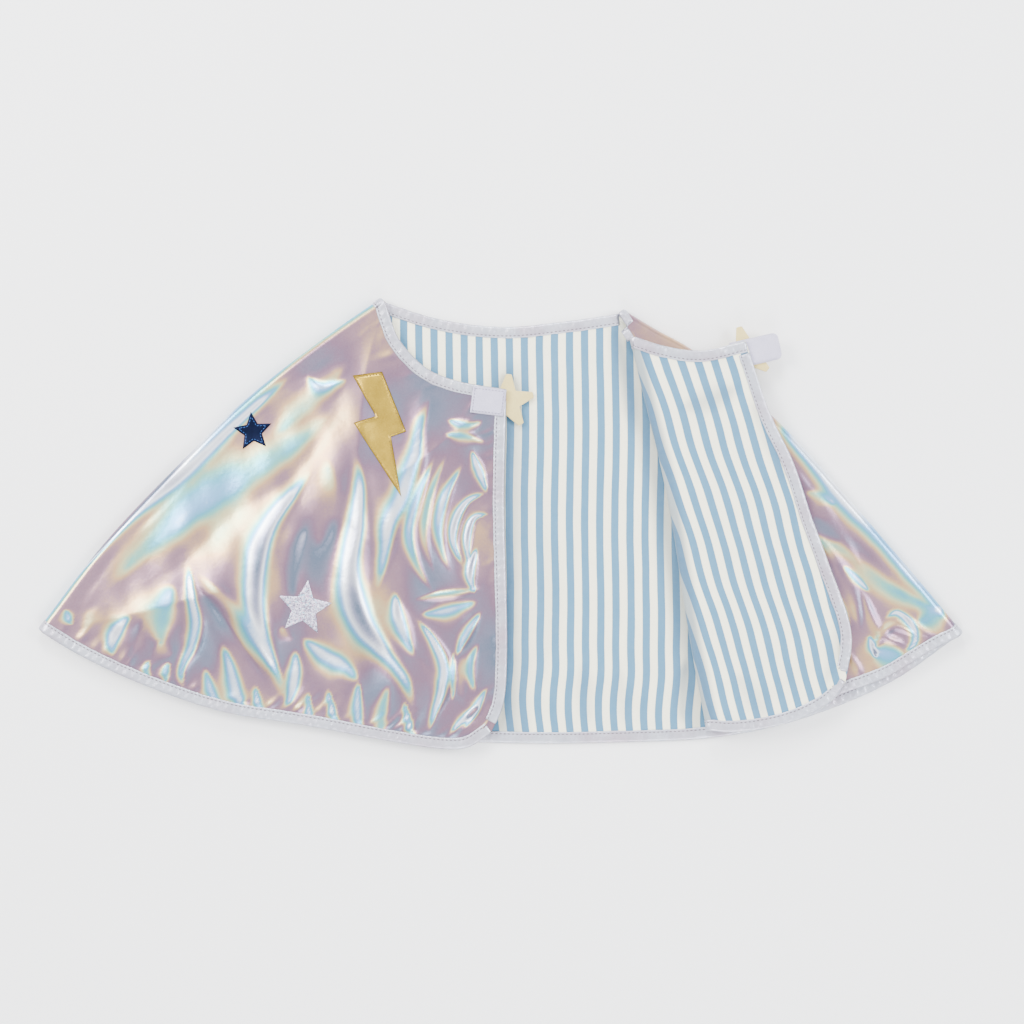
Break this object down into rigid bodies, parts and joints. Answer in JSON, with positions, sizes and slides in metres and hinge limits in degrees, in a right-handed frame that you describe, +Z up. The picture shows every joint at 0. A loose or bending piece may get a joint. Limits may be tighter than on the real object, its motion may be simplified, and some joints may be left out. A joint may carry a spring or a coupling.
{
  "type": "superhero cape",
  "caption": "Child's short lined cape lying folded on a table, with bound edges, star and lightning appliques, padded corner stars and a hook-and-loop neck closure.",
  "frame": {"origin": "on the table, under the middle of the folded cape's bounding box", "axes": "+X across the cape towards the turned-back right front, +Y from the hem towards the neck, +Z up off the table"},
  "size_m": [0.6918, 0.3374, 0.0215],
  "materials": {
    "holographic_fabric": "holographic silver foil laminated to a soft woven base",
    "striped_lining": "matt cotton with printed blue and cream stripes",
    "silver_binding": "soft silver foil bias binding, topstitched",
    "fastening_tape": "matt hook-and-loop tape",
    "cream_felt": "matt felt",
    "gold_foil": "metallic foil fabric",
    "navy_foil": "shiny metallic foil fabric",
    "glitter_fabric": "fine glitter"
  },
  "bodies": {
    "back": {"outer_back": "holographic_fabric", "lining_back": "striped_lining", "outer_left_side": "holographic_fabric", "lining_left_side": "striped_lining", "outer_right_side": "holographic_fabric", "lining_right_side": "striped_lining", "neck_binding_back": "silver_binding", "hem_binding_back": "silver_binding", "neck_binding_left_side": "silver_binding", "hem_binding_left_side": "silver_binding", "neck_binding_right_side": "silver_binding", "hem_binding_right_side": "silver_binding", "blue_star": "navy_foil"},
    "left_front": {"outer_left_front": "holographic_fabric", "lining_left_front": "striped_lining", "neck_binding_left_front": "silver_binding", "hem_binding_left_front": "silver_binding", "front_binding_left": "silver_binding", "loop_patch": "fastening_tape", "left_star": "cream_felt", "gold_bolt": "gold_foil", "glitter_star": "glitter_fabric"},
    "right_front": {"outer_right_front": "holographic_fabric", "lining_right_front": "striped_lining", "outer_turned_fold": "holographic_fabric", "lining_turned_fold": "striped_lining", "neck_binding_right_front": "silver_binding", "hem_binding_right_front": "silver_binding", "neck_binding_turned_fold": "silver_binding", "hem_binding_turned_fold": "silver_binding"},
    "right_flap": {"outer_right_flap": "holographic_fabric", "lining_right_flap": "striped_lining", "neck_binding_right_flap": "silver_binding", "hem_binding_right_flap": "silver_binding", "front_binding_flap": "silver_binding", "right_star": "cream_felt", "hook_tab_root": "fastening_tape"},
    "hook_tab": {"hook_tab": "fastening_tape"}
  },
  "joints": [
    {"name": "left_front_opens", "type": "hinge", "parent": "back", "child": "left_front", "pos_m": [-0.08101, 0.14887, 0.0111], "axis": [-0.6923, -0.7216, 0], "range_deg": [0, 150]},
    {"name": "right_front_lifts", "type": "hinge", "parent": "back", "child": "right_front", "pos_m": [0.10449, 0.14187, 0.0111], "axis": [-0.6794, 0.7338, 0], "range_deg": [0, 7]},
    {"name": "right_flap_closes", "type": "hinge", "parent": "right_front", "child": "right_flap", "pos_m": [0.10549, 0.13987, 0.0171], "axis": [0.1942, -0.981, 0], "range_deg": [0, 168]},
    {"name": "hook_tab_lifts", "type": "hinge", "parent": "right_flap", "child": "hook_tab", "pos_m": [0.18639, 0.12777, 0.0138], "axis": [0.225, -0.9744, 0], "range_deg": [0, 85]}
  ]
}
